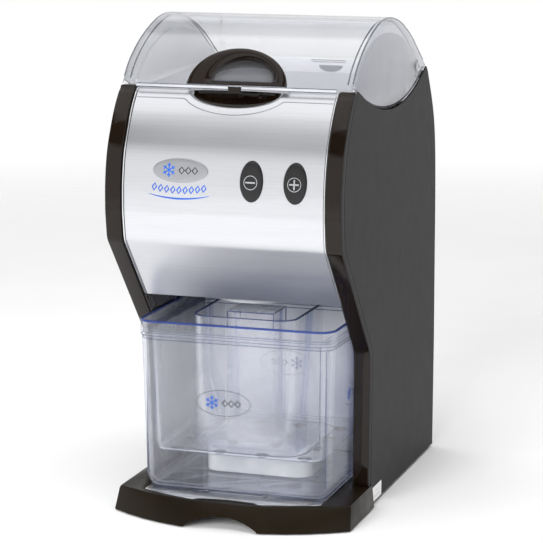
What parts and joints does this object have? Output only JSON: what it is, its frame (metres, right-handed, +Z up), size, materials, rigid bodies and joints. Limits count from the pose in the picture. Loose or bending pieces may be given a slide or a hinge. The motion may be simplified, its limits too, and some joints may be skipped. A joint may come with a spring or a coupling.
{
  "type": "ice crusher",
  "caption": "Countertop ice crusher with a clear hinged hopper lid, brushed front panel, oval buttons and a clear slide-out ice tub on a drip grid.",
  "frame": {"origin": "centre of the footprint at the bottom of the feet, where the machine stands on the counter", "axes": "+X across the machine, to the right as seen from the front; -Y is the front with the buttons and the tub; +Z up"},
  "size_m": [0.2274, 0.3554, 0.4531],
  "materials": {
    "gloss_black": "glossy",
    "base_black": "satin",
    "skin_charcoal": "matt",
    "brushed_silver": "brushed",
    "stainless": "polished",
    "clear_lid": "clear",
    "clear_tub": "clear",
    "hopper_grey": "satin",
    "white_plastic": "satin",
    "button_black": "satin",
    "steel": "satin",
    "cast_alloy": "cast",
    "rubber": "matt",
    "motor_paint": "satin",
    "board_green": "satin",
    "component_grey": "satin",
    "dark_plastic": "satin"
  },
  "bodies": {
    "housing": {"base_tray": "base_black", "bay_back": "white_plastic", "bay_side_left": "dark_plastic", "bay_side_right": "dark_plastic", "button_board": "board_green", "cable_inlet": "dark_plastic", "capacitor": "component_grey", "control_board": "board_green", "crusher_comb": "steel", "crusher_housing": "cast_alloy", "drive_belt": "rubber", "finger_recess": "gloss_black", "foot_front_left": "rubber", "foot_front_right": "rubber", "foot_rear_left": "rubber", "foot_rear_right": "rubber", "front_panel": "brushed_silver", "front_pillar_left": "gloss_black", "front_pillar_right": "gloss_black", "head_floor": "dark_plastic", "hinge_trough": "hopper_grey", "hopper": "hopper_grey", "lid_screw_left": "steel", "lid_screw_right": "steel", "lid_switch": "dark_plastic", "motor": "motor_paint", "motor_shelf": "steel", "outlet_chute": "white_plastic", "rear_cover": "skin_charcoal", "relay": "component_grey", "rotor_bearing_left": "steel", "rotor_bearing_right": "steel", "side_panel_left": "skin_charcoal", "side_panel_right": "skin_charcoal", "switch_minus": "dark_plastic", "switch_plus": "dark_plastic", "terminal_block": "white_plastic"},
    "lid": {"lid": "clear_lid", "lid_handle": "gloss_black", "lid_catch": "gloss_black"},
    "button_minus": {"button_minus": "button_black"},
    "button_plus": {"button_plus": "button_black"},
    "drip_grid": {"drip_grid": "stainless"},
    "tub": {"tub": "clear_tub", "strainer_basket": "clear_tub"},
    "ice_scoop": {"ice_scoop": "clear_tub"},
    "crusher_rotor": {"rotor_shaft": "steel", "driven_pulley": "cast_alloy", "knife_1": "steel", "knife_2": "steel", "knife_3": "steel", "knife_4": "steel", "knife_5": "steel", "knife_6": "steel"},
    "motor_armature": {"motor_shaft": "steel", "motor_pulley": "cast_alloy", "motor_fan": "dark_plastic"}
  },
  "joints": [
    {"name": "lid_hinge", "type": "hinge", "parent": "housing", "child": "lid", "pos_m": [0, 0.0965, 0.3993], "axis": [-1, 0, 0], "range_deg": [0, 85]},
    {"name": "button_minus_press", "type": "slide", "parent": "housing", "child": "button_minus", "axis": [0, 1, 0], "range_m": [0, 0.002], "stiffness_N_per_m": 400},
    {"name": "button_plus_press", "type": "slide", "parent": "housing", "child": "button_plus", "axis": [0, 1, 0], "range_m": [0, 0.002], "stiffness_N_per_m": 400},
    {"name": "drip_grid_lift", "type": "slide", "parent": "housing", "child": "drip_grid", "axis": [0, 0, 1], "range_m": [0, 0.006]},
    {"name": "tub_slide", "type": "slide", "parent": "drip_grid", "child": "tub", "axis": [0, -1, 0], "range_m": [0, 0.2]},
    {"name": "scoop_lift", "type": "slide", "parent": "tub", "child": "ice_scoop", "axis": [0, 0, 1], "range_m": [0, 0.005]},
    {"name": "rotor_spin", "type": "hinge", "parent": "housing", "child": "crusher_rotor", "pos_m": [0, -0.063, 0.283], "axis": [1, 0, 0], "continuous": true},
    {"name": "motor_spin", "type": "hinge", "parent": "housing", "child": "motor_armature", "pos_m": [0, 0.112, 0.255], "axis": [1, 0, 0], "continuous": true}
  ],
  "couplings": [
    {"joint": "motor_spin", "follows": "rotor_spin", "ratio": 5}
  ]
}
